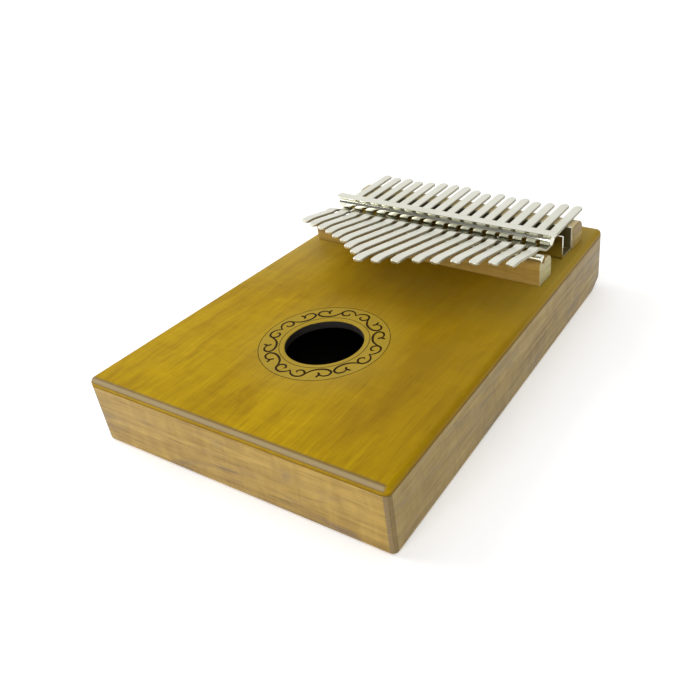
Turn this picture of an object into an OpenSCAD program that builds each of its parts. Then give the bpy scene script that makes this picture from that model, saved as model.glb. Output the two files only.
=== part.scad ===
// Seventeen-key thumb piano: a tapered hollow wooden box with plucked steel keys.
// Units are millimetres. The origin is the centre of the box's underside,
// +Y runs towards the key tails, +X to the player's right and +Z up.
// Places along the box are given as distances from its front, sound-hole end.

/* [Box] */
// Length of the box
body_l = 185; // [180:1:200]
// Width at the front, sound-hole end
front_w = 128.5; // [126:0.5:134]
// Width at the rear, key end
rear_w = 118; // [116:0.5:124]
// Height of the box without the hardware
body_h = 28; // [26:0.5:34]
// Thickness of the soundboard
top_t = 3.2; // [3:0.1:4.5]
// Thickness of the back panel
back_t = 3; // [2:0.1:4]
// Thickness of the four walls
wall_t = 5; // [4:0.5:6]
// Radius of the soundboard's edge and of the upright corners
edge_r = 2.3; // [1:0.1:2.8]
// Radius under the rear end of the box
under_r = 9; // [5:0.5:12]

/* [Sound hole] */
// Diameter of the sound hole
hole_d = 29.5; // [20:0.5:36]
// Distance of the sound hole's centre from the front end
hole_s = 55.6; // [45:0.1:62]

/* [Bridges] */
// Length of the wooden bridges across the box
bridge_l = 110.8; // [109:0.2:111]
// Distance of the front bridge's front face from the front end
bridge_s = 124.8; // [124:0.1:125.5]
// Depth of the front bridge
bridge_w = 11.2; // [10:0.1:12]
// Height of the front bridge above the soundboard
bridge_h = 10; // [9:0.1:10.2]
// Diameter of the steel saddle rod
saddle_d = 3.4; // [3.2:0.1:3.6]
// Distance of the saddle rod's axis from the front end
saddle_s = 128.5; // [128:0.1:129]
// Height of the saddle rod's axis above the soundboard
saddle_h = 10.55; // [10.4:0.05:10.7]
// Depth of the rear bridge
rear_bridge_w = 10; // [8:0.5:11]

/* [Bracket] */
// Distance of the bracket's front face from the front end
bracket_s = 149.9; // [149.6:0.1:150.5]
// Outside depth of the bracket's channel
bracket_w = 10.4; // [9.5:0.1:10.6]
// Length of the bracket across the box
bracket_l = 108.8; // [108:0.2:110]
// Height of the bracket's walls above the soundboard
bracket_h = 10.5; // [10.3:0.1:10.8]
// Thickness of the bracket's sheet
sheet_t = 1; // [0.8:0.1:1.5]

/* [Clamp] */
// Distance of the pressure rod's axis from the front end
clamp_s = 142.5; // [142:0.1:143]
// Diameter of the pressure rod
rod_d = 4.8; // [4:0.1:5]
// Height of the pressure rod's axis above the soundboard
rod_h = 11.9; // [11.5:0.1:12.2]
// Length of the pressure rod
rod_l = 106; // [105:0.2:110]
// Length of the flat clamp strip
strip_l = 109.6; // [109:0.2:112]
// Width of the flat clamp strip
strip_w = 4.6; // [4:0.2:5.4]
// Thickness of the flat clamp strip
strip_t = 0.8; // [0.6:0.1:1.6]

/* [Keys] */
// Distance between neighbouring keys
pitch = 6.25; // [6.2:0.01:6.28]
// Width of a key
key_w = 4.2; // [4:0.1:4.4]
// Thickness of a key
key_t = 1.1; // [0.9:0.1:1.2]
// Rise of the playing blade for each millimetre forward of the saddle
blade_rise = 0.2; // [0.15:0.01:0.25]
// Length of the downward curve at a blade's tip
tip_l = 7; // [5:0.5:9]
// Radius of the downward curve at a blade's tip
tip_r = 32; // [16:1:40]
// Travel of a key each way when it is tuned
tune_travel = 1.5; // [0.5:0.1:1.5]

/* [Hidden] */
$fn = 64;
// Free length of each key in front of the saddle, from the player's left to right
blade_l = [17.5, 20, 22, 25, 28.5, 31.5, 37, 41.5, 48, 45.5, 41.5, 36.5, 33.5, 29, 26, 22, 19.5];
// Distance of each key's tail end from the front end of the box
tail_s = [178.5, 177.5, 178.5, 177.5, 178.5, 180, 180, 180, 178, 176.5, 178.5, 177, 178,
          176.5, 177.5, 179, 179];
key_count = len(blade_l);

// Clearance of a key over its supports and under the pressure rod
key_gap = 0.1;
// Gap between a key's tail part and its blade, over the saddle
split_gap = 0.1;
// Clearance round a screw or rod in its hole or groove
hole_gap = 0.05;
// Length by which a cutter passes the faces it cuts
over = 1;

taper = atan((front_w - rear_w) / 2 / body_l);
board_z = body_h - top_t;
saddle_z = body_h + saddle_h;
rod_z = body_h + rod_h;
strip_z = rod_z + rod_d / 2;
rear_bridge_s = bracket_s + bracket_w + 0.2;

// Heights of a key's upper face on the saddle, under the rod and over the bracket
crest_z = saddle_z + saddle_d / 2 + key_gap + key_t;
dip_z = rod_z - rod_d / 2 - key_gap;
rear_z = body_h + bracket_h + key_gap + key_t;

// Half-lengths of the flats that let a key slide without lifting
dip_flat = tune_travel + 0.7;
saddle_flat = tune_travel + 0.6;
// Start of the level rear stretch of a key
level_s = bracket_s - tune_travel - 0.5;

// Clamp screws rise from under the inner block, between two keys on each side, into the rod
clamp_screw_x = 4.5 * pitch;
clamp_screw_r = 0.75;
clamp_screw_top = rod_z + 1;
clamp_head_r = 1.8;
clamp_head_h = 1.4;

bracket_screw_x = [-42, 0, 42];
bracket_screw_r = 1.5;
bracket_head_r = 2.7;
bracket_head_h = 2;
bracket_screw_tip = board_z - 8;

block_front_s = 122;
block_rear_s = 173;
block_t = 10;

// y of a place given as a distance from the front end
function at(s) = s - body_l / 2;
// Half the width of the box at a distance from the front end
function half_w(s) = (front_w + (rear_w - front_w) * s / body_l) / 2;
// Four corners of the box in plan, moved in by a distance, anticlockwise from the front left
function corners(inset) = [
    [-(half_w(inset) - inset / cos(taper)), at(inset)],
    [half_w(inset) - inset / cos(taper), at(inset)],
    [half_w(body_l - inset) - inset / cos(taper), at(body_l - inset)],
    [-(half_w(body_l - inset) - inset / cos(taper)), at(body_l - inset)]
];
function two_digits(n) = str(n < 10 ? "0" : "", n);
function key_x(k) = (k - (key_count + 1) / 2) * pitch;

// ---- Shared shapes ----

// A profile drawn in Y and Z, extruded along X and centred on x = 0
module across(length) {
    translate([-length / 2, 0, 0])
        rotate([90, 0, 90])
            linear_extrude(length) children();
}

// Plan of the box with rounded corners
module outline() {
    c = corners(edge_r);
    side = edge_r * cos(taper);
    back = edge_r * sin(taper);
    polygon([
        [c[0].x, at(0)], [c[1].x, at(0)],
        [c[1].x + side, c[1].y + back], [c[2].x + side, c[2].y + back],
        [c[2].x, at(body_l)], [c[3].x, at(body_l)],
        [c[3].x - side, c[3].y + back], [c[0].x - side, c[0].y + back]
    ]);
    for (p = c) translate(p) circle(edge_r);
}

// Cuts a quarter round along the top of one side, from corner p to corner q
module edge_cutter(p, q) {
    run = q - p;
    translate([p.x, p.y, body_h])
        rotate([0, 0, atan2(run.y, run.x)])
            translate([-over, 0, 0])
                rotate([90, 0, 90])
                    linear_extrude(norm(run) + 2 * over)
                        difference() {
                            translate([-over, -edge_r]) square([edge_r + over, edge_r + over]);
                            translate([edge_r, -edge_r]) circle(edge_r);
                        }
}

// Cuts the large round under the rear end
module under_cutter() {
    across(front_w + 2 * over)
        difference() {
            translate([at(body_l - under_r), -over]) square([under_r + over, under_r + over]);
            translate([at(body_l - under_r), under_r]) circle(under_r);
        }
}

// One wall of the box: the mitred strip between outer corners p, q and the inner corners
module wall(i, j) {
    outer = corners(0);
    inner = corners(wall_t);
    difference() {
        linear_extrude(board_z)
            intersection() {
                outline();
                polygon([outer[i], outer[j], inner[j], inner[i]]);
            }
        under_cutter();
    }
}

module upright(x, s, z, r, h) {
    translate([x, at(s), z]) cylinder(r = r, h = h);
}

// ---- Box ----

module soundboard() {
    c = corners(0);
    color("goldenrod")
        difference() {
            translate([0, 0, board_z]) linear_extrude(top_t) outline();
            for (i = [0:3]) edge_cutter(c[i], c[(i + 1) % 4]);
            upright(0, hole_s, board_z - over, hole_d / 2, top_t + 2 * over);
            for (x = bracket_screw_x)
                upright(x, bracket_s + bracket_w / 2, board_z - over,
                        bracket_screw_r + hole_gap, top_t + 2 * over);
            for (side = [-1, 1])
                upright(side * clamp_screw_x, clamp_s, board_z - over,
                        clamp_screw_r + hole_gap, top_t + 2 * over);
        }
}

module back_panel() {
    color("burlywood")
        difference() {
            linear_extrude(back_t) polygon(corners(wall_t));
            under_cutter();
        }
}

module front_wall() {
    color("tan") wall(0, 1);
}

module right_wall() {
    color("tan") wall(1, 2);
}

module rear_wall() {
    color("tan") wall(2, 3);
}

module left_wall() {
    color("tan") wall(3, 0);
}

// Inner block that backs the soundboard under the bracket and clamp screws
module key_block() {
    reach = wall_t / cos(taper);
    color("burlywood")
        difference() {
            translate([0, 0, board_z - block_t])
                linear_extrude(block_t)
                    polygon([
                        [-(half_w(block_front_s) - reach), at(block_front_s)],
                        [half_w(block_front_s) - reach, at(block_front_s)],
                        [half_w(block_rear_s) - reach, at(block_rear_s)],
                        [-(half_w(block_rear_s) - reach), at(block_rear_s)]
                    ]);
            for (x = bracket_screw_x)
                upright(x, bracket_s + bracket_w / 2, bracket_screw_tip - 0.5,
                        bracket_screw_r + hole_gap, block_t);
            for (side = [-1, 1])
                upright(side * clamp_screw_x, clamp_s, board_z - block_t - over,
                        clamp_screw_r + hole_gap, block_t + 2 * over);
        }
}

// ---- Bridges and bracket ----

module front_bridge() {
    f = at(bridge_s);
    r = at(bridge_s + bridge_w);
    top = body_h + bridge_h;
    color("wheat")
        difference() {
            across(bridge_l)
                polygon([
                    [f, body_h], [r, body_h], [r, top - 2.2], [r - 0.8, top - 1.2],
                    [r - 4, top - 0.1], [r - 5, top], [f + 1.2, top], [f, top - 1.2]
                ]);
            translate([0, 0, saddle_z])
                across(bridge_l + 2 * over)
                    translate([at(saddle_s), 0]) circle(saddle_d / 2 + hole_gap);
        }
}

module saddle_rod() {
    color("silver")
        translate([0, 0, saddle_z])
            across(bridge_l - 1)
                translate([at(saddle_s), 0]) circle(saddle_d / 2);
}

module key_bracket() {
    f = at(bracket_s);
    color("lightgray")
        difference() {
            across(bracket_l)
                difference() {
                    translate([f, body_h]) square([bracket_w, bracket_h]);
                    translate([f + sheet_t, body_h + sheet_t])
                        square([bracket_w - 2 * sheet_t, bracket_h]);
                }
            for (x = bracket_screw_x)
                upright(x, bracket_s + bracket_w / 2, body_h - over,
                        bracket_screw_r + hole_gap, sheet_t + 2 * over);
        }
}

module bracket_screws() {
    color("dimgray")
        for (x = bracket_screw_x) {
            upright(x, bracket_s + bracket_w / 2, bracket_screw_tip,
                    bracket_screw_r, body_h + sheet_t - bracket_screw_tip);
            upright(x, bracket_s + bracket_w / 2, body_h + sheet_t,
                    bracket_head_r, bracket_head_h);
        }
}

module rear_bridge() {
    f = at(rear_bridge_s);
    r = f + rear_bridge_w;
    top = body_h + bracket_h;
    color("wheat")
        across(bridge_l - 1)
            polygon([
                [f, body_h], [r, body_h], [r, top - 4], [r - 0.8, top - 2],
                [r - 2.4, top - 0.6], [r - 4.5, top], [f + 0.8, top], [f, top - 0.8]
            ]);
}

// ---- Clamp ----

module pressure_rod() {
    color("silver")
        difference() {
            translate([0, 0, rod_z])
                across(rod_l)
                    translate([at(clamp_s), 0]) circle(rod_d / 2);
            for (side = [-1, 1])
                upright(side * clamp_screw_x, clamp_s, rod_z - rod_d,
                        clamp_screw_r + hole_gap, rod_d + clamp_screw_top - rod_z + hole_gap);
        }
}

module clamp_strip() {
    color("gainsboro")
        translate([0, at(clamp_s), strip_z])
            linear_extrude(strip_t) {
                square([strip_l - strip_w, strip_w], center = true);
                for (side = [-1, 1])
                    translate([side * (strip_l - strip_w) / 2, 0]) circle(strip_w / 2);
            }
}

module clamp_screws() {
    color("dimgray")
        for (side = [-1, 1]) {
            upright(side * clamp_screw_x, clamp_s, board_z - block_t,
                    clamp_screw_r, clamp_screw_top - board_z + block_t);
            upright(side * clamp_screw_x, clamp_s, board_z - block_t - clamp_head_h,
                    clamp_head_r, clamp_head_h);
        }
}

// ---- Keys ----

// Rear, clamped part of a key: from its round tail end to the saddle
module key_tail(k) {
    tail = tail_s[k - 1];
    front = saddle_s + split_gap / 2;
    top = [
        [at(tail), rear_z], [at(level_s), rear_z],
        [at(clamp_s + dip_flat), dip_z], [at(clamp_s - dip_flat), dip_z],
        [at(saddle_s + saddle_flat), crest_z], [at(front), crest_z]
    ];
    bottom = [for (i = [len(top) - 1:-1:0]) top[i] - [0, key_t]];
    color("silver")
        intersection() {
            translate([key_x(k), 0, 0]) across(key_w) polygon(concat(top, bottom));
            translate([key_x(k), 0, body_h])
                linear_extrude(2 * body_h) {
                    translate([-key_w / 2, at(front) - over])
                        square([key_w, tail - key_w / 2 - front + over]);
                    translate([0, at(tail - key_w / 2)]) circle(key_w / 2);
                }
        }
}

// Height of a blade's upper face, at a distance in front of the saddle
function blade_z(u, length) =
    crest_z + blade_rise * u
    - (u > length - tip_l ? tip_r - sqrt(pow(tip_r, 2) - pow(u - length + tip_l, 2)) : 0);

// Front, plucked part of a key: from the saddle to its curved tip
module key_blade(k) {
    length = blade_l[k - 1];
    steps = 6;
    corner_r = 1.4;
    u = concat([split_gap / 2], [for (i = [0:steps]) length - tip_l + tip_l * i / steps]);
    top = [for (a = u) [at(saddle_s - a), blade_z(a, length)]];
    bottom = [for (i = [len(top) - 1:-1:0]) top[i] - [0, key_t]];
    color("silver")
        intersection() {
            translate([key_x(k), 0, 0]) across(key_w) polygon(concat(top, bottom));
            translate([key_x(k), at(saddle_s - length), body_h])
                linear_extrude(2 * body_h) {
                    translate([-key_w / 2, corner_r]) square([key_w, length]);
                    translate([corner_r - key_w / 2, 0])
                        square([key_w - 2 * corner_r, length]);
                    for (side = [-1, 1])
                        translate([side * (key_w / 2 - corner_r), corner_r]) circle(corner_r);
                }
        }
}

// ---- Assembly ----

soundboard();
back_panel();
front_wall();
rear_wall();
left_wall();
right_wall();
key_block();
front_bridge();
saddle_rod();
key_bracket();
bracket_screws();
rear_bridge();
pressure_rod();
clamp_strip();
clamp_screws();
for (k = [1:key_count]) {
    key_tail(k);
    key_blade(k);
}
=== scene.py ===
"""Looks for the seventeen-key thumb piano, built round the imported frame. Lengths are in metres."""
import math

import bmesh
import bpy
from mathutils import Matrix, Vector


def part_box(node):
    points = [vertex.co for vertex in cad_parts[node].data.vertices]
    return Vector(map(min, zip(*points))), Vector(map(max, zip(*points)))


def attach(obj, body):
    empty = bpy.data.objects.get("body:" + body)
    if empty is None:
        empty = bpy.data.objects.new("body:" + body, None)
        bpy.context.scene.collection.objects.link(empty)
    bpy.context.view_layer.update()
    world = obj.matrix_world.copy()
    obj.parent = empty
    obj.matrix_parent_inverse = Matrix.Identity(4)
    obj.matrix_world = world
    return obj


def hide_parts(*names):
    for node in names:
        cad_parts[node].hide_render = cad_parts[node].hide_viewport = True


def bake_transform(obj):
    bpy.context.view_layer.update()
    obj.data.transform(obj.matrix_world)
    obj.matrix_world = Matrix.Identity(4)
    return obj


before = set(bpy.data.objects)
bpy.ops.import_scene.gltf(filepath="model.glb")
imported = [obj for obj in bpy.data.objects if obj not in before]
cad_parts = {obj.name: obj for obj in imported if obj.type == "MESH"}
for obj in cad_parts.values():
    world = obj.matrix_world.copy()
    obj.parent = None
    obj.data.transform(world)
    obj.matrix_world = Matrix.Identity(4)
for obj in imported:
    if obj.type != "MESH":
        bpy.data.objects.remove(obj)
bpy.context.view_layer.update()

MM = 0.001
KEY_COUNT = 17

# ---- Places read from the frame ----

board_low, board_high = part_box("soundboard")
LENGTH = board_high.y - board_low.y
FRONT_Y, REAR_Y = board_low.y, board_high.y
TOP_Z, SEAM_Z = board_high.z, board_low.z
FRONT_HALF = 64.25 * MM
REAR_HALF = 59.0 * MM
WALL_T = 5 * MM
EDGE_R = 2.3 * MM
UNDER_R = 9 * MM
FOOT_R = 1.4 * MM
GROOVE = 0.15 * MM
SLACK = 0.01 * MM   # tolerance when telling one kind of face from another
HOLE_R = 14.75 * MM
HOLE_Y = FRONT_Y + 55.6 * MM
TAPER = math.atan((FRONT_HALF - REAR_HALF) / LENGTH)


# ---- Mesh helpers ----

def finish_mesh(name, bm, materials, body="root", replaces=(), smooth=35.0, bevel=0.0):
    """Turns a bmesh into a piece with its materials and body."""
    bmesh.ops.remove_doubles(bm, verts=bm.verts, dist=1e-7)
    bmesh.ops.dissolve_degenerate(bm, edges=bm.edges, dist=1e-7)
    bmesh.ops.recalc_face_normals(bm, faces=bm.faces)
    mesh = bpy.data.meshes.new(name)
    bm.to_mesh(mesh)
    bm.free()
    for face in mesh.polygons:
        face.use_smooth = True
    mesh.set_sharp_from_angle(angle=math.radians(smooth))
    for material in materials:
        mesh.materials.append(material)
    piece = bpy.data.objects.new(name, mesh)
    bpy.context.scene.collection.objects.link(piece)
    if bevel:
        rounding = piece.modifiers.new("edges", "BEVEL")
        rounding.width = bevel
        rounding.segments = 3
        rounding.limit_method = "ANGLE"
        rounding.angle_limit = math.radians(40)
        rounding.harden_normals = True
    if body:
        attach(piece, body)
    if replaces:
        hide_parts(*replaces)
    return piece


def loft(bm, rings, closed_run=False):
    """Joins rings of points into a surface, capped at both ends unless the run of rings closes."""
    rows = [[bm.verts.new(p) for p in ring] for ring in rings]
    count = len(rows[0])
    runs = len(rows) if closed_run else len(rows) - 1
    for i in range(runs):
        a, b = rows[i], rows[(i + 1) % len(rows)]
        for j in range(count):
            k = (j + 1) % count
            bm.faces.new((a[j], a[k], b[k], b[j]))
    if not closed_run:
        for row in (rows[0], rows[-1]):
            bm.faces.new(row)


def arc(centre, radius, start, end, steps):
    """Points on an arc, angles in degrees, both ends included."""
    angles = [math.radians(start + (end - start) * i / steps) for i in range(steps + 1)]
    return [(centre[0] + radius * math.cos(a), centre[1] + radius * math.sin(a)) for a in angles]


def across(bm, profile, half):
    """Extrudes a profile of (y, z) points along X, half to each side of the middle."""
    loft(bm, [[(side * half, y, z) for y, z in profile] for side in (-1, 1)])


def lathe(bm, profile, origin, axis="z", steps=40):
    """Turns (radius, height) points round an axis through origin, with capped ends."""
    rings = []
    for radius, height in profile:
        ring = []
        for i in range(steps):
            a = 2 * math.pi * i / steps
            u, v = radius * math.cos(a), radius * math.sin(a)
            offset = Vector((u, v, height)) if axis == "z" else Vector((height, u, v))
            ring.append(Vector(origin) + offset)
        rings.append(ring)
    loft(bm, rings)


# ---- Materials ----

def srgb(red, green, blue):
    """A display colour, 0 to 255, as the linear colour that the shader takes."""
    def linear(c):
        c /= 255
        return c / 12.92 if c <= 0.04045 else ((c + 0.055) / 1.055) ** 2.4
    return (linear(red), linear(green), linear(blue), 1.0)


class Shader:
    """A node material with one Principled shader; inputs take constants or other nodes' sockets."""

    def __init__(self, name):
        self.material = bpy.data.materials.new(name)
        self.material.use_nodes = True
        self.tree = self.material.node_tree
        self.principled = self.tree.nodes["Principled BSDF"]
        self.coords = self.add("ShaderNodeTexCoord").outputs["Object"]

    def set(self, node, inputs):
        """Sets a node's inputs, linking those that are sockets."""
        for key, value in inputs.items():
            if isinstance(value, bpy.types.NodeSocket):
                self.tree.links.new(value, node.inputs[key])
            else:
                node.inputs[key].default_value = value

    def add(self, kind, inputs=None, **properties):
        """A new node with its properties and inputs set."""
        node = self.tree.nodes.new(kind)
        for key, value in properties.items():
            setattr(node, key, value)
        self.set(node, inputs or {})
        return node

    def surface(self, **inputs):
        """Sets inputs of the Principled shader; underscores stand for spaces."""
        self.set(self.principled, {k.replace("_", " "): v for k, v in inputs.items()})

    def stretched(self, scale, offset=(0, 0, 0)):
        """The place on the piece, scaled along each axis."""
        node = self.add("ShaderNodeMapping", {"Vector": self.coords, "Scale": scale, "Location": offset})
        return node.outputs["Vector"]

    def noise(self, vector, detail=3.0, roughness=0.55, distortion=0.0):
        """Noise, mostly 0.3 to 0.7; the vector alone sets how fine it is."""
        node = self.add("ShaderNodeTexNoise", {
            "Vector": vector, "Scale": 1.0, "Detail": detail,
            "Roughness": roughness, "Distortion": distortion})
        return node.outputs["Fac"]

    def ramp(self, value, stops):
        """Colour ramp; stops are (position, colour)."""
        node = self.add("ShaderNodeValToRGB", {"Fac": value})
        elements = node.color_ramp.elements
        while len(elements) < len(stops):
            elements.new(0.5)
        for element, (position, colour) in zip(elements, stops):
            element.position = position
            element.color = colour
        return node.outputs["Color"]

    def remap(self, value, low, high, to_low, to_high):
        """Carries low to high onto to_low to to_high, and holds beyond them."""
        node = self.add("ShaderNodeMapRange", {
            "Value": value, "From Min": low, "From Max": high, "To Min": to_low, "To Max": to_high})
        return node.outputs["Result"]

    def math(self, operation, a, b=0.0):
        """One arithmetic step."""
        node = self.add("ShaderNodeMath", {0: a, 1: b}, operation=operation)
        return node.outputs["Value"]

    def product(self, a, b):
        """a times b."""
        return self.math("MULTIPLY", a, b)

    def mix(self, factor, a, b, blend="MIX"):
        """Colour a turning into colour b as factor goes from 0 to 1."""
        node = self.add("ShaderNodeMix", {"Factor": factor, 6: a, 7: b}, data_type="RGBA",
                        blend_type=blend)
        return node.outputs[2]

    def facing(self):
        """The parts of the surface's outward direction."""
        normal = self.add("ShaderNodeNewGeometry").outputs["Normal"]
        return self.add("ShaderNodeSeparateXYZ", {"Vector": normal}).outputs

    def outer_edge(self):
        """How far a point is on an outer edge, 0 to 1."""
        sharp = self.add("ShaderNodeNewGeometry").outputs["Pointiness"]
        return self.remap(sharp, 0.52, 0.6, 0.0, 1.0)

    def bump(self, height, distance, strength):
        """The surface direction, roughened by height."""
        inputs = {"Height": height, "Distance": distance, "Strength": strength}
        return self.add("ShaderNodeBump", inputs).outputs["Normal"]


def grey(value):
    return (value, value, value, 1.0)


def scaled(colour, factor, lift=0.0):
    """A colour made darker or lighter, and no brighter than 1."""
    return tuple(min(c * factor + lift, 1.0) for c in colour[:3]) + (1.0,)


def grain_noises(shader, grain, seed):
    """Noises stretched along the grain, from broad figure to fine fibres, by name."""
    def along(across_scale, along_scale):
        scale = {"x": (along_scale, across_scale, across_scale),
                 "y": (across_scale, along_scale, across_scale)}[grain]
        return shader.stretched(scale, (seed, seed * 1.7, seed * 0.6))

    return {
        "broad": shader.noise(along(60, 7), detail=3, distortion=0.9),
        "streaks": shader.noise(along(520, 22), detail=5, roughness=0.65, distortion=0.5),
        "figure": shader.noise(along(45, 150), detail=3, roughness=0.6, distortion=1.2),
        "patches": shader.noise(along(85, 16), detail=5, roughness=0.6, distortion=1.5),
        "fibres": shader.noise(along(2800, 110), detail=2, roughness=0.6),
        "pores": shader.noise(along(1500, 90), detail=1, roughness=0.4)}


def wood(name, dark, mid, light, patch, grain="y", seed=0.0, roughness=(0.36, 0.5), specular=0.25,
         coat=0.08, pore_depth=0.35, patching=0.5, contrast=1.0, corner=None):
    """Grained wood: figure, streaks, fibres and short dark pores along the grain, with a painted highlight
    lightening the outer edges.

    A corner colour tints the rounded upright corners as a painted reflection of the gloss there."""
    shader = Shader(name)
    noises = grain_noises(shader, grain, seed)
    streaks, fibres = noises["streaks"], noises["fibres"]
    tone = shader.math("ADD", shader.product(noises["broad"], 0.42), shader.product(streaks, 0.33))
    tone = shader.math("ADD", tone, shader.product(noises["figure"], 0.25))
    spread = 0.14 / contrast
    colour = shader.ramp(tone, [(0.5 - spread, dark), (0.5, mid), (0.5 + spread, light)])
    colour = shader.mix(shader.remap(noises["patches"], 0.5, 0.68, 0.0, patching), colour, patch)
    fleck = shader.remap(noises["pores"], 0.6, 0.72, 0.0, pore_depth)
    colour = shader.mix(fleck, colour, scaled(dark, 0.4))
    fine = shader.remap(fibres, 0.3, 0.7, 0.9, 1.1)
    shade = shader.add("ShaderNodeCombineColor", {"Red": fine, "Green": fine, "Blue": fine})
    colour = shader.mix(1.0, colour, shade.outputs["Color"], "MULTIPLY")
    # Painted highlight: the outer edges are lightened towards a paler wood colour, as if catching the
    # light.
    outer_edge = shader.product(shader.outer_edge(), shader.remap(streaks, 0.4, 0.6, 0.15, 0.5))
    colour = shader.mix(outer_edge, colour, scaled(light, 1.25, 0.02))
    # Painted reflection: the rounded upright corners, picked by their facing, turn towards the greyer
    # corner colour.
    if corner:
        parts = shader.facing()
        turned = shader.math("ABSOLUTE", shader.product(parts["X"], parts["Y"]))
        colour = shader.mix(shader.remap(turned, 0.04, 0.16, 0.0, 0.75), colour, corner)
    height = shader.math("SUBTRACT", shader.product(fibres, 0.35), fleck)
    shader.surface(
        Base_Color=colour,
        Roughness=shader.remap(streaks, 0.3, 0.7, roughness[1], roughness[0]),
        Normal=shader.bump(height, 0.03 * MM, 0.6),
        Specular_IOR_Level=specular, Coat_Weight=coat, Coat_Roughness=0.12)
    shader.colour = colour
    return shader


ROSETTE_INNER = 16.8 * MM
ROSETTE_OUTER = 24.4 * MM


def painted_light_by_place(shader, parts):
    """The top's wood with painted light and shade: browner to the rear and right, a painted shadow under
    the keys, and paler rear corners as painted light and sheen.
    """
    # Painted shade: the top browns towards the rear and right, where less light falls on it.
    along = shader.math("ADD", shader.product(parts["Y"], 0.85), shader.product(parts["X"], 0.45))
    cloud = shader.remap(shader.noise(shader.stretched((22, 14, 22)), detail=3), 0.3, 0.7, -0.035, 0.035)
    depth = shader.remap(shader.math("ADD", along, cloud), -0.055, 0.03, 0.0, 0.8)
    top_with_painted_light = shader.mix(depth, shader.colour, srgb(138, 106, 14))
    # Painted shadow: a browner patch under the keys.
    keys = shader.add("ShaderNodeVectorMath", {0: shader.coords, 1: (0.002, 0.02, TOP_Z)},
                      operation="DISTANCE").outputs["Value"]
    top_with_painted_light = shader.mix(shader.remap(keys, 0.012, 0.045, 0.45, 0.0), top_with_painted_light, srgb(112, 84, 14))
    # Painted light: the right rear corner made paler.
    lighter = shader.product(shader.remap(parts["X"], 0.03, 0.055, 0.0, 0.85),
                             shader.remap(parts["Y"], -0.01, 0.04, 0.0, 1.0))
    top_with_painted_light = shader.mix(lighter, top_with_painted_light, srgb(164, 138, 50))
    # Painted sheen: the left rear corner made paler.
    left = shader.remap(parts["X"], -0.06, -0.03, 0.6, 0.0)
    rear = shader.remap(parts["Y"], -0.02, 0.03, 0.0, 0.7)
    return shader.mix(shader.product(left, rear), top_with_painted_light, srgb(190, 168, 92))


def pale_round_hole(shader, top_with_painted_light):
    """A painted sheen as a pale haze round the rosette, and paler wood inside it."""
    flat = shader.add("ShaderNodeVectorMath", {0: shader.coords, 1: (1, 1, 0)}, operation="MULTIPLY")
    away = shader.add("ShaderNodeVectorMath", {0: flat.outputs["Vector"], 1: (0, HOLE_Y, 0)},
                      operation="DISTANCE").outputs["Value"]
    # Painted sheen: a pale haze fading out round the rosette.
    painted_sheen = shader.remap(away, 1.0 * ROSETTE_OUTER, 1.5 * ROSETTE_OUTER, 0.25, 0.0)
    top_with_painted_light = shader.mix(painted_sheen, top_with_painted_light, srgb(168, 142, 60))
    inside = shader.remap(away, ROSETTE_OUTER - 0.2 * MM, ROSETTE_OUTER, 0.45, 0.0)
    return shader.mix(inside, top_with_painted_light, srgb(168, 146, 56))


def painted_edge_shade_and_reflection(shader, parts, top_with_painted_light):
    """Painted shade on the rolled edge and just above the seam all round, and a painted reflection as a
    pale strip along the front edge's rounding, with a painted highlight in its middle.
    """
    # Painted shade: the rolled edge darkened below the top.
    rolled = shader.remap(parts["Z"], TOP_Z - 0.9 * MM, TOP_Z - 0.3 * MM, 0.3, 0.0)
    top_with_painted_light = shader.mix(rolled, top_with_painted_light, srgb(138, 102, 4))
    # Painted shade: the edge darkened just above the seam.
    low = shader.remap(parts["Z"], SEAM_Z + 0.4 * MM, SEAM_Z + 1.5 * MM, 0.75, 0.0)
    top_with_painted_light = shader.mix(low, top_with_painted_light, srgb(102, 74, 6))
    # Painted reflection: the front rounding made pale where it faces the bright front.
    near = shader.remap(parts["Y"], FRONT_Y + 1.5 * MM, FRONT_Y + 2.5 * MM, 1.0, 0.0)
    above = shader.remap(parts["Z"], SEAM_Z + 1.2 * MM, SEAM_Z + 1.8 * MM, 0.0, 1.0)
    facing = shader.facing()
    not_right = shader.remap(facing["X"], 0.2, 0.6, 0.9, 0.0)
    lightened = shader.product(shader.product(near, above), not_right)
    # Painted highlight: the strip is lighter where the rounding faces half up and half forward.
    crown = shader.product(facing["Y"], facing["Z"])
    strip = shader.mix(shader.remap(crown, -0.48, -0.32, 1.0, 0.0), srgb(112, 92, 58), srgb(154, 138, 106))
    return shader.mix(lightened, top_with_painted_light, strip)


def soundboard_wood():
    """Gold-stained top, with painted light and shade laid over the wood."""
    shader = wood("golden_wood", srgb(154, 119, 2), srgb(176, 141, 3), srgb(192, 158, 6),
                  srgb(142, 104, 4), grain="y", seed=3.1, roughness=(0.3, 0.42), specular=0.03, coat=0.04,
                  pore_depth=0.25, patching=0.5, contrast=0.85)
    parts = shader.add("ShaderNodeSeparateXYZ", {"Vector": shader.coords}).outputs
    top_with_painted_light = pale_round_hole(shader, painted_light_by_place(shader, parts))
    shader.surface(Base_Color=painted_edge_shade_and_reflection(shader, parts, top_with_painted_light))
    return shader.material


golden = soundboard_wood()
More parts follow.
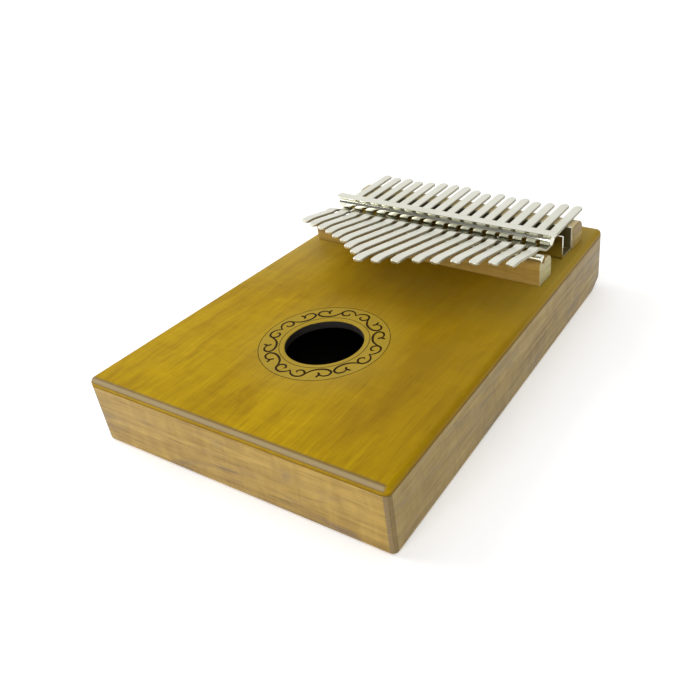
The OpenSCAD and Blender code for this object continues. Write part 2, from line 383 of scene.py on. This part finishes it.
# The corner colours below are painted reflections on the rounded upright corners.
side_front = wood("front_wood", srgb(126, 95, 34), srgb(150, 119, 46), srgb(171, 139, 60),
                  srgb(116, 94, 66), grain="x", seed=7.7, pore_depth=0.35, patching=0.95, contrast=1.3,
                  corner=srgb(112, 96, 72)).material
side_long = wood("side_wood", srgb(124, 99, 42), srgb(147, 122, 58), srgb(165, 141, 77),
                 srgb(124, 106, 74), grain="y", seed=12.4, pore_depth=0.35, patching=0.9, contrast=1.15,
                 corner=srgb(106, 86, 50)).material
beech = wood("beech", srgb(126, 96, 34), srgb(148, 116, 48), srgb(168, 138, 66), srgb(134, 104, 44),
             grain="x", seed=21.0, pore_depth=0.3, contrast=0.8).material
beech_end = wood("beech_end", srgb(164, 154, 104), srgb(180, 171, 122), srgb(190, 182, 136),
                 srgb(168, 158, 110), grain="y", seed=24.0, pore_depth=0.4, contrast=0.8).material
# Painted light: a paler copy of the beech for the rear bridge, standing for its lit top.
beech_painted_lit = wood("beech_painted_lit", srgb(168, 148, 96), srgb(188, 170, 120), srgb(202, 186, 142),
                  srgb(174, 156, 104), grain="x", seed=27.0, pore_depth=0.3, contrast=0.8).material
plain = wood("plain_wood", srgb(140, 108, 62), srgb(164, 132, 84), srgb(182, 150, 100),
             srgb(146, 116, 74), grain="y", seed=31.0, roughness=(0.45, 0.6), coat=0.02).material


def dark_inside():
    """Painted shade: the inner faces of the box made near black, as the shade inside the closed box."""
    shader = Shader("dark_inside")
    spots = shader.noise(shader.stretched((300, 40, 300)), detail=3)
    shader.surface(Base_Color=shader.ramp(spots, [(0.3, srgb(16, 12, 8)), (0.7, srgb(30, 23, 15))]),
                   Roughness=shader.remap(spots, 0.3, 0.7, 0.6, 0.8))
    return shader.material


def burnt():
    """Scorched lines of the engraved rosette."""
    shader = Shader("burnt_line")
    char = shader.noise(shader.stretched((1500, 1500, 1500)), detail=3)
    shader.surface(Base_Color=shader.ramp(char, [(0.3, srgb(34, 22, 3)), (0.7, srgb(58, 40, 8))]),
                   Roughness=shader.remap(char, 0.3, 0.7, 0.5, 0.7), Specular_IOR_Level=0.05)
    return shader.material


def steel(name, colour, roughness, brushed=(900, 30, 900), seed=0.0, scratch=0.006 * MM):
    """Plated steel with faint brushing, smudges, a little tarnish and rubbed edges."""
    shader = Shader(name)
    brush = shader.noise(shader.stretched(brushed, (seed, 0, seed)), detail=3, roughness=0.6)
    smudge = shader.noise(shader.stretched((90, 90, 90), (seed, seed, 0)), detail=4)
    tarnish = tuple(c * fade for c, fade in zip(colour, (0.9, 0.89, 0.85))) + (1.0,)
    tint = shader.ramp(smudge, [(0.3, tarnish), (0.7, colour)])
    tint = shader.mix(shader.product(shader.outer_edge(), 0.35), tint, scaled(colour, 1.2))
    wear = shader.math("ADD", shader.remap(brush, 0.3, 0.7, roughness[0], roughness[1]),
                       shader.remap(smudge, 0.4, 0.7, 0.0, 0.05))
    shader.surface(Base_Color=tint, Metallic=1.0, Roughness=wear,
                   Normal=shader.bump(brush, scratch, 0.5))
    return shader.material


key_steel = steel("key_steel", srgb(230, 230, 218), (0.26, 0.36), (2200, 40, 2200), 4.0)
key_edge = steel("key_edge", srgb(196, 192, 172), (0.45, 0.6), (300, 300, 2600), 5.0)
polished = steel("polished_steel", srgb(226, 226, 212), (0.05, 0.11), (60, 2000, 2000), 9.0, 0.002 * MM)
bracket_steel = steel("bracket_steel", srgb(222, 220, 210), (0.07, 0.14), (40, 1600, 1600), 15.0,
                      0.003 * MM)
# Painted shade: a darker, olive copy of the bracket steel for the channel's inner faces.
bracket_inside_shade = steel("bracket_inside_shade", srgb(166, 156, 112), (0.35, 0.5), (40, 900, 900), 16.0)
screw_steel = steel("screw_steel", srgb(206, 204, 198), (0.15, 0.25), (800, 800, 800), 17.0)
# Painted shade for the box's inner faces, the hole's wall and the key block.
inside_shade = dark_inside()
scorch = burnt()


# ---- Box ----

def half_width(y):
    """Half the tapered box's width at y."""
    return FRONT_HALF + (REAR_HALF - FRONT_HALF) * (y - FRONT_Y) / LENGTH


def corner(index, inset):
    """Plan corner moved in by inset: front left, front right, rear right, rear left."""
    y = FRONT_Y + inset if index < 2 else REAR_Y - inset
    x = half_width(y) - inset / math.cos(TAPER)
    return Vector((-x if index in (0, 3) else x, y))


def side_points(index, inset, straight=24, bend=8):
    """Plan points of one side at an inset, between the middles of its two rounded corners."""
    radius = max(EDGE_R - inset, 0.0)
    a, b = corner(index, inset + radius), corner((index + 1) % 4, inset + radius)
    run = (b - a).normalized()
    normal = math.degrees(math.atan2(-run.x, run.y))
    outward = normal + (180 if Vector((math.cos(math.radians(normal)),
                                       math.sin(math.radians(normal)))).dot(a + b) < 0 else 0)
    before = outward - 45
    points = [Vector(p) for p in arc(a, radius, before, outward, bend)]
    end = [Vector(p) for p in arc(b, radius, outward, outward + 45, bend)]
    start, stop = points[-1], end[0]
    points += [start.lerp(stop, i / straight) for i in range(1, straight)]
    return points + end


def whole_outline(inset):
    """Plan points all round the box at an inset, without repeats."""
    points = []
    for index in range(4):
        points += side_points(index, inset, 40 if index % 2 else 28)[:-1]
    return points


def under(y):
    """Height of the underside at y: flat, then rising round the rear end."""
    past = min(max(y - (REAR_Y - UNDER_R), 0.0), UNDER_R)
    return UNDER_R - math.sqrt(UNDER_R ** 2 - past ** 2)


def lift_rear(bm):
    """Bends everything below the seam up to follow the round under the rear end."""
    for vert in bm.verts:
        vert.co.z += under(vert.co.y) * max(1 - vert.co.z / SEAM_Z, 0)


def make_soundboard():
    """Top plate with a rolled edge and an eased sound hole; inside faces and the hole's wall take the
    painted shade.
    """
    bm = bmesh.new()
    ease, turns = 0.4 * MM, 10
    levels = [(GROOVE, SEAM_Z), (0, SEAM_Z + GROOVE)]
    for i in range(turns + 1):
        a = math.pi / 2 * i / turns
        levels.append((EDGE_R * (1 - math.cos(a)), TOP_Z - EDGE_R * (1 - math.sin(a))))
    rings = [[(p.x, p.y, z) for p in whole_outline(inset)] for inset, z in levels]
    centre = Vector((0, HOLE_Y))
    spokes = [(p - centre).normalized() for p in whole_outline(EDGE_R)]

    def hole_ring(radius, z):
        return [(centre.x + d.x * radius, centre.y + d.y * radius, z) for d in spokes]

    rings += [hole_ring(HOLE_R + ease * (1 - math.sin(a)), TOP_Z - ease * (1 - math.cos(a)))
              for a in (0, math.pi / 8, math.pi / 4, 3 * math.pi / 8, math.pi / 2)]
    rings.append(hole_ring(HOLE_R, SEAM_Z))
    loft(bm, rings, closed_run=True)
    for face in bm.faces:
        middle = face.calc_center_median()
        inner = (middle.xy - centre).length < HOLE_R + SLACK
        if middle.z < SEAM_Z + SLACK or inner:
            face.material_index = 1
    return finish_mesh("soundboard_piece", bm, [golden, inside_shade], replaces=("soundboard",))


def make_wall(index, name, outside):
    """One mitred wall, eased at its foot and seam, with the painted shade on its inner face."""
    bm = bmesh.new()
    steps = 8
    section = [(WALL_T, SEAM_Z), (GROOVE, SEAM_Z), (0, SEAM_Z - GROOVE)]
    section += [(FOOT_R * (1 - math.cos(a)), FOOT_R * (1 - math.sin(a)))
                for a in (math.pi / 2 * i / steps for i in range(steps + 1))]
    section += [(FOOT_R + (WALL_T - FOOT_R) * i / steps, 0) for i in range(1, steps + 1)]
    rows = [[(p.x, p.y, z) for p in side_points(index, inset)] for inset, z in section]
    paths = list(zip(*rows))
    loft(bm, paths)
    for face in bm.faces:
        inner = all((Vector(v.co.xy) - corner_line_point(index, v.co)).length > WALL_T - SLACK
                    for v in face.verts)
        face.material_index = 1 if inner or face.calc_center_median().z > SEAM_Z - SLACK else 0
    lift_rear(bm)
    return finish_mesh(name + "_piece", bm, [outside, inside_shade], replaces=(name,))


def corner_line_point(index, co):
    """The nearest point of one side's outer line."""
    a, b = corner(index, 0), corner((index + 1) % 4, 0)
    run = (b - a).normalized()
    return a + run * (Vector(co.xy) - a).dot(run)


def make_back_panel():
    """Let-in underside, plain wood below and painted shade inside."""
    low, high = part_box("back_panel")
    bm = bmesh.new()
    gap, ease, runs = 0.12 * MM, 0.25 * MM, 40
    rings = []
    for i in range(runs + 1):
        t = i / runs
        y = low.y + gap + (high.y - low.y - 2 * gap) * (1 - (1 - t) ** 1.6)
        x = half_width(y) - WALL_T / math.cos(TAPER) - gap
        rings.append([(-x + ease, y, 0), (x - ease, y, 0), (x, y, ease), (x, y, high.z),
                      (-x, y, high.z), (-x, y, ease)])
    loft(bm, rings)
    for face in bm.faces:
        face.material_index = 1 if face.calc_center_median().z > high.z - SLACK else 0
    lift_rear(bm)
    return finish_mesh("back_panel_piece", bm, [plain, inside_shade], replaces=("back_panel",))


make_soundboard()
for wall_index, (wall_name, wall_wood) in enumerate([
        ("front_wall", side_front), ("right_wall", side_long),
        ("rear_wall", side_front), ("left_wall", side_long)]):
    make_wall(wall_index, wall_name, wall_wood)
make_back_panel()


# ---- Rosette ----

def smooth_curve(points, steps=8):
    """Catmull-Rom curve through 2-D points."""
    pts = [Vector(p) for p in points]
    pts = [2 * pts[0] - pts[1]] + pts + [2 * pts[-1] - pts[-2]]
    out = []
    for i in range(1, len(pts) - 2):
        p0, p1, p2, p3 = pts[i - 1:i + 3]
        for j in range(steps):
            t = j / steps
            out.append(0.5 * ((2 * p1) + (p2 - p0) * t + (2 * p0 - 5 * p1 + 4 * p2 - p3) * t * t
                              + (3 * p1 - p0 - 3 * p2 + p3) * t ** 3))
    return out + [pts[-2]]


# Scroll strokes along the band: millimetres from the motif's middle, and out from the band's middle
SCROLL_CURL = [(0, -0.7), (0.9, 0.8), (2.6, 1.9), (4.5, 1.6), (5.5, 0.1), (4.9, -1.5), (3.5, -1.9),
               (2.4, -1.1), (2.8, -0.2)]
SCROLL_STEM = [(5.3, 0.8), (6.3, -0.9), (8.0, -2.3), (10.4, -2.8), (12.9, -2.2), (14.2, -0.5),
               (13.4, 1.2), (11.7, 1.5), (10.3, 0.6)]
SCROLL_LEAF = [(9.5, 2.0), (9.9, 1.2), (10.3, 0.6), (10.2, -0.3), (9.8, -0.9)]
SCROLL_STRETCH = 1.1
LINE_TOP = 0.03 * MM
LINE_SUNK = 0.08 * MM


def ribbon(bm, points, widths):
    """A thin flat line along plan points, standing just proud of the soundboard."""
    rings = []
    for i, p in enumerate(points):
        before, after = points[max(i - 1, 0)], points[min(i + 1, len(points) - 1)]
        run = (after - before).normalized()
        side = Vector((-run.y, run.x)) * widths[i] / 2
        rings.append([(*(p + side), TOP_Z + LINE_TOP), (*(p - side), TOP_Z + LINE_TOP),
                      (*(p - side), TOP_Z - LINE_SUNK), (*(p + side), TOP_Z - LINE_SUNK)])
    loft(bm, rings)


def make_rosette():
    """Two fine rings and four mirrored pairs of scrolls."""
    bm = bmesh.new()
    middle = (ROSETTE_INNER + ROSETTE_OUTER) / 2
    for motif in range(4):
        for side in (-1, 1):
            for stroke, thick in ((SCROLL_CURL, 0.6), (SCROLL_STEM, 0.7), (SCROLL_LEAF, 0.75)):
                plan = []
                for along, out in smooth_curve(stroke):
                    angle = math.radians(90 * motif) + side * SCROLL_STRETCH * along * MM / middle
                    radius = middle + out * MM
                    plan.append(Vector((radius * math.cos(angle), HOLE_Y + radius * math.sin(angle))))
                count = len(plan) - 1
                widths = [(0.36 + thick * 0.75 * math.sin(math.pi * i / count) ** 0.5) * MM
                          for i in range(count + 1)]
                ribbon(bm, plan, widths)
    for radius in (ROSETTE_INNER, ROSETTE_OUTER):
        steps, half = 160, 0.11 * MM
        inner, outer, top, sunk = radius - half, radius + half, TOP_Z + LINE_TOP, TOP_Z - LINE_SUNK
        rings = []
        for i in range(steps):
            a = 2 * math.pi * i / steps
            rings.append([(r * math.cos(a), HOLE_Y + r * math.sin(a), z)
                          for r, z in ((inner, top), (outer, top), (outer, sunk), (inner, sunk))])
        loft(bm, rings, closed_run=True)
    return finish_mesh("rosette", bm, [scorch])


make_rosette()


# ---- Bridges and bracket ----

def rod_axis(node):
    """Middle of a rod that lies along X, and its radius and half-length."""
    low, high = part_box(node)
    return (low.y + high.y) / 2, (low.z + high.z) / 2, (high.z - low.z) / 2, (high.x - low.x) / 2


SADDLE_Y, SADDLE_Z, SADDLE_R = rod_axis("saddle_rod")[:3]
ROD_Y, ROD_Z, ROD_R = rod_axis("pressure_rod")[:3]


def mark_ends(bm):
    """Gives the end faces of a bar the second material."""
    bm.normal_update()
    for face in bm.faces:
        face.material_index = 1 if abs(face.normal.x) > 0.9 else 0


def make_front_bridge():
    """Wooden bar with eased shoulders and a groove for the saddle rod."""
    low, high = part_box("front_bridge")
    bm = bmesh.new()
    top, front_r, rear_r = high.z, 1.4 * MM, 3.2 * MM
    foot = math.degrees(math.asin((SADDLE_Z - top) / SADDLE_R))
    profile = [(low.y, low.z), (high.y, low.z)]
    profile += arc((high.y - rear_r, top - rear_r), rear_r, 0, 90, 10)
    profile += arc((SADDLE_Y, SADDLE_Z), SADDLE_R, -foot, foot - 180, 12)
    profile += arc((low.y + front_r, top - front_r), front_r, 90, 180, 6)
    across(bm, profile, (high.x - low.x) / 2)
    mark_ends(bm)
    return finish_mesh("front_bridge_piece", bm, [beech, beech_end], replaces=("front_bridge",),
                       bevel=0.3 * MM)


def make_rear_bridge():
    """Wooden bar behind the bracket, rounded over at the back."""
    low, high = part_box("rear_bridge")
    bm = bmesh.new()
    front_r, rear_r = 0.7 * MM, 4.2 * MM
    profile = [(low.y, low.z), (high.y, low.z)]
    profile += arc((high.y - rear_r, high.z - rear_r), rear_r, 0, 90, 12)
    profile += arc((low.y + front_r, high.z - front_r), front_r, 90, 180, 4)
    across(bm, profile, (high.x - low.x) / 2)
    mark_ends(bm)
    return finish_mesh("rear_bridge_piece", bm, [beech_painted_lit, side_long], replaces=("rear_bridge",),
                       bevel=0.3 * MM)


def make_rod(node, material, chamfer):
    """Steel rod along X with turned ends."""
    y, z, radius, half = rod_axis(node)
    bm = bmesh.new()
    ends = [(radius - chamfer * (1 - math.sin(a)), half - chamfer * (1 - math.cos(a)))
            for a in (math.pi / 2 * i / 5 for i in range(6))]
    profile = [(r, -x) for r, x in ends] + [(r, x) for r, x in reversed(ends)]
    lathe(bm, profile, (0, y, z), "x", 48)
    return finish_mesh(node + "_piece", bm, [material], replaces=(node,))


def make_bracket():
    """Folded sheet channel with rounded bends and deburred edges."""
    low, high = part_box("key_bracket")
    sheet, inner = 1.0 * MM, 0.3 * MM
    outer = inner + sheet
    bm = bmesh.new()
    profile = [(low.y, high.z)]
    profile += arc((low.y + outer, low.z + outer), outer, 180, 270, 8)
    profile += arc((high.y - outer, low.z + outer), outer, 270, 360, 8)
    profile += [(high.y, high.z), (high.y - sheet, high.z)]
    profile += arc((high.y - outer, low.z + outer), inner, 360, 270, 6)
    profile += arc((low.y + outer, low.z + outer), inner, 270, 180, 6)
    profile += [(low.y + sheet, high.z)]
    across(bm, profile, (high.x - low.x) / 2)
    # Painted shade: the channel's inner faces take the darker steel.
    for face in bm.faces:
        middle = face.calc_center_median()
        inward = (low.y + 0.9 * sheet < middle.y < high.y - 0.9 * sheet
                  and middle.z > low.z + 0.9 * sheet and abs(middle.x) < 1 * MM)
        face.material_index = 1 if inward else 0
    return finish_mesh("key_bracket_piece", bm, [bracket_steel, bracket_inside_shade],
                       replaces=("key_bracket",), bevel=0.12 * MM)


def screw_piece(name, places, head_z, head_r, head_h, shank_r, tip_z, pitch):
    """A group of like screws: domed heads standing on head_z and threaded shanks to tip_z."""
    bm = bmesh.new()
    crown = 1 if tip_z < head_z else -1
    for x, y in places:
        steps = 6
        head = [(head_r * 0.96, 0), (head_r, head_h * 0.12)]
        head += [(head_r * math.cos(a), head_h * (0.45 + 0.55 * math.sin(a)))
                 for a in (math.pi / 2 * i / steps for i in range(steps))]
        lathe(bm, [(r, crown * z) for r, z in head + [(head_r * 0.05, head_h)]], (x, y, head_z), "z", 48)
        depth = abs(tip_z - head_z)
        root_r, smooth_length = shank_r * 0.8, 1.5 * pitch
        shank = [(root_r, 0.1 * MM), (root_r, -smooth_length)]
        for turn in range(int((depth - shank_r - smooth_length) / pitch)):
            z = -(1.5 + turn) * pitch
            shank += [(shank_r, z - pitch / 2), (root_r, z - pitch)]
        shank.append((shank_r * 0.3, -depth))
        lathe(bm, [(r, crown * z) for r, z in shank], (x, y, head_z), "z", 24)
    return finish_mesh(name + "_piece", bm, [screw_steel], body=None)


def cut_recesses(piece, places, crown_z, size, depth):
    """Cuts a cross recess into each head."""
    bm = bmesh.new()
    for x, y in places:
        for wide, narrow in ((size, size * 0.24), (size * 0.24, size)):
            box = bmesh.ops.create_cube(bm, size=1.0)["verts"]
            bmesh.ops.scale(bm, verts=box, vec=(2 * wide, 2 * narrow, 2 * depth))
            bmesh.ops.translate(bm, verts=box, vec=(x, y, crown_z))
    mesh = bpy.data.meshes.new("recess_cutter")
    bm.to_mesh(mesh)
    bm.free()
    cutter = bpy.data.objects.new("recess_cutter", mesh)
    bpy.context.scene.collection.objects.link(cutter)
    cut = piece.modifiers.new("recess", "BOOLEAN")
    cut.object = cutter
    cut.operation = "DIFFERENCE"
    cut.solver = "EXACT"
    cut.use_self = True
    bpy.context.view_layer.update()
    depsgraph = bpy.context.evaluated_depsgraph_get()
    result = bpy.data.meshes.new_from_object(piece.evaluated_get(depsgraph))
    piece.modifiers.clear()
    piece.data = result
    result.set_sharp_from_angle(angle=math.radians(35))
    bpy.data.objects.remove(cutter)


def make_screws(node, count, head_r, head_h, shank_r, pitch, heads_up=True):
    """A row of screws along X that fills its node's box, with cross recesses."""
    low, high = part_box(node)
    middle_y = (low.y + high.y) / 2
    reach = (high.x - low.x) / 2 - head_r
    places = [(reach * (2 * i / (count - 1) - 1), middle_y) for i in range(count)]
    head_z, tip_z, crown = ((high.z - head_h, low.z, high.z) if heads_up
                            else (low.z + head_h, high.z, low.z))
    piece = screw_piece(node, places, head_z, head_r, head_h, shank_r, tip_z, pitch)
    cut_recesses(piece, places, crown, head_r * 0.55, head_h * 0.55)
    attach(piece, "root")
    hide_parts(node)
    return piece


def make_clamp_strip():
    """Flat strip with round ends on top of the pressure rod."""
    low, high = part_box("clamp_strip")
    half_w, y = (high.y - low.y) / 2, (low.y + high.y) / 2
    plan = arc((high.x - half_w, y), half_w, -90, 90, 16)
    plan += arc((low.x + half_w, y), half_w, 90, 270, 16)
    bm = bmesh.new()
    loft(bm, [[(px, py, z) for px, py in plan] for z in (low.z, high.z)])
    return finish_mesh("clamp_strip_piece", bm, [polished], replaces=("clamp_strip",),
                       bevel=0.2 * MM)


make_front_bridge()
make_rear_bridge()
make_rod("saddle_rod", polished, 0.3 * MM)
make_rod("pressure_rod", polished, 0.5 * MM)
make_bracket()
make_clamp_strip()
make_screws("bracket_screws", 3, 2.7 * MM, 2.0 * MM, 1.5 * MM, 0.9 * MM)
make_screws("clamp_screws", 2, 1.8 * MM, 1.4 * MM, 0.75 * MM, 0.4 * MM, heads_up=False)
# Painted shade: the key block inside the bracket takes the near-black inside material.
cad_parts["key_block"].data.materials.clear()
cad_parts["key_block"].data.materials.append(inside_shade)


# ---- Keys ----

KEY_T = 1.1 * MM
KEY_EDGE_R = 0.32 * MM
KEY_LEAST_HALF = 0.12 * MM
CONTACT = 0.02 * MM
BLADE_RISE = 0.2
TUNE_TRAVEL = 1.5 * MM
TIP_LENGTH = 7 * MM
TIP_R = 32 * MM
TIP_CORNER = 1.4 * MM


def smooth_step(p, q, steps):
    """Points between (y, z) points p and q that leave and arrive level, p left out."""
    out = []
    for i in range(1, steps + 1):
        t = i / steps
        z = (2 * t ** 3 - 3 * t ** 2 + 1) * p[1] + (-2 * t ** 3 + 3 * t ** 2) * q[1]
        out.append((p[0] + (q[0] - p[0]) * t, z))
    return out


def key_line(tail_y, blade_length):
    """Middle line of a key from its tail to its tip, as (y, z) points.

    It runs level over the bracket, under the rod and up to the saddle, far enough to slide there."""
    bracket_low, bracket_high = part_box("key_bracket")
    level = bracket_high.z + CONTACT + KEY_T / 2
    dip = ROD_Z - ROD_R - CONTACT - KEY_T / 2
    crest = SADDLE_Z + SADDLE_R + CONTACT + KEY_T / 2
    corner_y = bracket_low.y - TUNE_TRAVEL - 0.5 * MM
    dip_flat = TUNE_TRAVEL + 0.7 * MM
    crest_flat = TUNE_TRAVEL + 0.6 * MM
    points = [(tail_y + (corner_y - tail_y) * i / 14, level) for i in range(15)]
    points += smooth_step(points[-1], (ROD_Y + dip_flat, dip), 10)
    points.append((ROD_Y - dip_flat, dip))
    points += smooth_step(points[-1], (SADDLE_Y + crest_flat, crest), 14)
    points.append((SADDLE_Y, crest))
    straight = blade_length - TIP_LENGTH
    points += [(SADDLE_Y - straight * i / 10, crest + BLADE_RISE * straight * i / 10)
               for i in range(1, 11)]
    for i in range(1, 11):
        u = TIP_LENGTH * i / 10
        drop = TIP_R - math.sqrt(TIP_R ** 2 - u ** 2)
        points.append((SADDLE_Y - straight - u, crest + BLADE_RISE * (straight + u) - drop))
    return points


def resample(points, near_ends):
    """The same line with extra points close to both ends, where the plan outline turns."""
    lengths = [0.0]
    for a, b in zip(points, points[1:]):
        lengths.append(lengths[-1] + math.dist(a, b))
    total = lengths[-1]
    stations = sorted(set([s for s in lengths if near_ends[-1] < s < total - near_ends[-1]]
                          + list(near_ends) + [total - e for e in near_ends]))
    out = []
    for s in stations:
        i = max(k for k in range(len(lengths)) if lengths[k] <= s + 1e-12)
        i = min(i, len(points) - 2)
        t = (s - lengths[i]) / (lengths[i + 1] - lengths[i])
        a, b = points[i], points[i + 1]
        out.append((s, a[0] + (b[0] - a[0]) * t, a[1] + (b[1] - a[1]) * t))
    return out, total


def section(half_w, half_t, radius):
    """Rounded-rectangle ring of (across, up) points."""
    radius = min(radius, half_w * 0.98, half_t * 0.98)
    ring = []
    for cx, cz, start in ((1, 1, 0), (-1, 1, 90), (-1, -1, 180), (1, -1, 270)):
        centre = (cx * (half_w - radius), cz * (half_t - radius))
        ring += arc(centre, radius, start, start + 90, 4)
    return ring


def key_half_width(s, left, half):
    """Half-width at s from the tail and left from the tip: a round tail and a tip with round corners."""
    wide = half
    if s < half:
        wide = math.sqrt(max(half ** 2 - (half - s) ** 2, 0))
    if left < TIP_CORNER:
        wide = half - TIP_CORNER + math.sqrt(TIP_CORNER ** 2 - (TIP_CORNER - left) ** 2)
    return max(wide, KEY_LEAST_HALF)


def make_key(number):
    """One steel strip from its round tail, under the rod and over the saddle, to its curved tip."""
    tail, blade = f"key_{number:02d}_tail", f"key_{number:02d}_blade"
    tail_low, tail_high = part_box(tail)
    blade_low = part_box(blade)[0]
    x, half = (tail_low.x + tail_high.x) / 2, (tail_high.x - tail_low.x) / 2
    near = [half * (1 - math.cos(math.radians(a))) for a in (0, 12, 24, 36, 48, 60, 72, 81, 90)]
    line, total = resample(key_line(tail_high.y, SADDLE_Y - blade_low.y), near)
    rings = []
    for i, (s, y, z) in enumerate(line):
        a, b = line[max(i - 1, 0)], line[min(i + 1, len(line) - 1)]
        run = Vector((0, b[1] - a[1], b[2] - a[2])).normalized()
        up = Vector((0, -run.z, run.y)) * (-1 if run.y < 0 else 1)
        outline = section(key_half_width(s, total - s, half), KEY_T / 2, KEY_EDGE_R)
        rings.append([Vector((x + u, y, z)) + up * v for u, v in outline])
    bm = bmesh.new()
    loft(bm, rings)
    bm.normal_update()
    for face in bm.faces:
        face.material_index = 1 if abs(face.normal.x) > 0.55 else 0
    piece = finish_mesh(f"key_{number:02d}", bm, [key_steel, key_edge], body=None, smooth=50)
    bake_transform(piece)
    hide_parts(tail, blade)
    return piece


for key_number in range(1, KEY_COUNT + 1):
    make_key(key_number)


# ---- Stage, light and camera ----

SENSOR_WIDTH = 36
DIM_END = 0.96


def make_floor():
    """Pale paper, a little bright in itself."""
    bm = bmesh.new()
    bmesh.ops.create_grid(bm, x_segments=1, y_segments=1, size=4.0)
    mesh = bpy.data.meshes.new("floor")
    bm.to_mesh(mesh)
    bm.free()
    shader = Shader("floor_paper")
    fleck = shader.noise(shader.stretched((200, 200, 200)), detail=2)
    shader.surface(Base_Color=shader.ramp(fleck, [(0.3, grey(0.9)), (0.7, grey(0.92))]), Roughness=0.9,
                   Specular_IOR_Level=0.1, Emission_Color=grey(1.0), Emission_Strength=0.3)
    mesh.materials.append(shader.material)
    floor = bpy.data.objects.new("floor", mesh)
    bpy.context.scene.collection.objects.link(floor)


def area_light(name, place, target, size, power):
    """A white rectangular light that faces its target."""
    data = bpy.data.lights.new(name, "AREA")
    data.shape = "RECTANGLE"
    data.size, data.size_y = size
    data.energy = power
    lamp = bpy.data.objects.new(name, data)
    lamp.location = place
    lamp.rotation_euler = (Vector(target) - Vector(place)).to_track_quat("-Z", "Y").to_euler()
    bpy.context.scene.collection.objects.link(lamp)


def make_world(strength, dims):
    """White surroundings that fall off round some directions; dims are (direction, start, strength)."""
    world = bpy.data.worlds.new("studio")
    world.use_nodes = True
    tree = world.node_tree
    background = tree.nodes["Background"]
    direction = tree.nodes.new("ShaderNodeTexCoord").outputs["Generated"]
    level = None
    for towards, start, dim_strength in dims:
        facing = tree.nodes.new("ShaderNodeVectorMath")
        facing.operation = "DOT_PRODUCT"
        facing.inputs[1].default_value = Vector(towards).normalized()
        fall = tree.nodes.new("ShaderNodeMapRange")
        fall.interpolation_type = "SMOOTHSTEP"
        for key, value in {"From Min": start, "From Max": DIM_END, "To Min": strength,
                           "To Max": dim_strength}.items():
            fall.inputs[key].default_value = value
        tree.links.new(direction, facing.inputs[0])
        tree.links.new(facing.outputs["Value"], fall.inputs["Value"])
        if level:
            least = tree.nodes.new("ShaderNodeMath")
            least.operation = "MINIMUM"
            tree.links.new(level, least.inputs[0])
            tree.links.new(fall.outputs["Result"], least.inputs[1])
            level = least.outputs["Value"]
        else:
            level = fall.outputs["Result"]
    tree.links.new(level, background.inputs["Strength"])
    background.inputs["Color"].default_value = (1, 1, 1, 1)
    bpy.context.scene.world = world


def make_camera(place, azimuth, elevation, roll, focal, shift):
    """Camera looking from an azimuth and elevation in degrees, with a small roll and shift."""
    a, e, r = (math.radians(v) for v in (azimuth, elevation, roll))
    back = Vector((math.sin(a) * math.cos(e), -math.cos(a) * math.cos(e), math.sin(e)))
    right = Vector((0, 0, 1)).cross(back).normalized()
    up = back.cross(right)
    rolled_right = math.cos(r) * right + math.sin(r) * up
    rolled_up = math.cos(r) * up - math.sin(r) * right
    data = bpy.data.cameras.new("camera")
    data.lens, data.sensor_width = focal, SENSOR_WIDTH
    data.shift_x, data.shift_y = shift
    data.clip_start = 0.01
    camera = bpy.data.objects.new("camera", data)
    rotation = Matrix((rolled_right, rolled_up, back)).transposed().to_4x4()
    camera.matrix_world = Matrix.Translation(place) @ rotation
    bpy.context.scene.collection.objects.link(camera)
    bpy.context.scene.camera = camera


make_floor()
make_world(0.97, [((0.75, 0.75, 0.3), 0.45, 0.4), ((-0.55, -0.7, 0.45), 0.45, 0.22)])
area_light("left_soft", (-1.0, -0.15, 0.7), (0, 0, 0), (0.7, 0.7), 7)
area_light("front_soft", (0.0, -1.0, 0.35), (0, -0.05, 0.02), (0.4, 0.4), 3.5)
make_camera(place=(0.16913, -0.22387, 0.18649), azimuth=32.408, elevation=34.173, roll=-4.206,
            focal=41.006, shift=(-0.13021, 0.00856))
bpy.context.scene.view_settings.view_transform = "Standard"
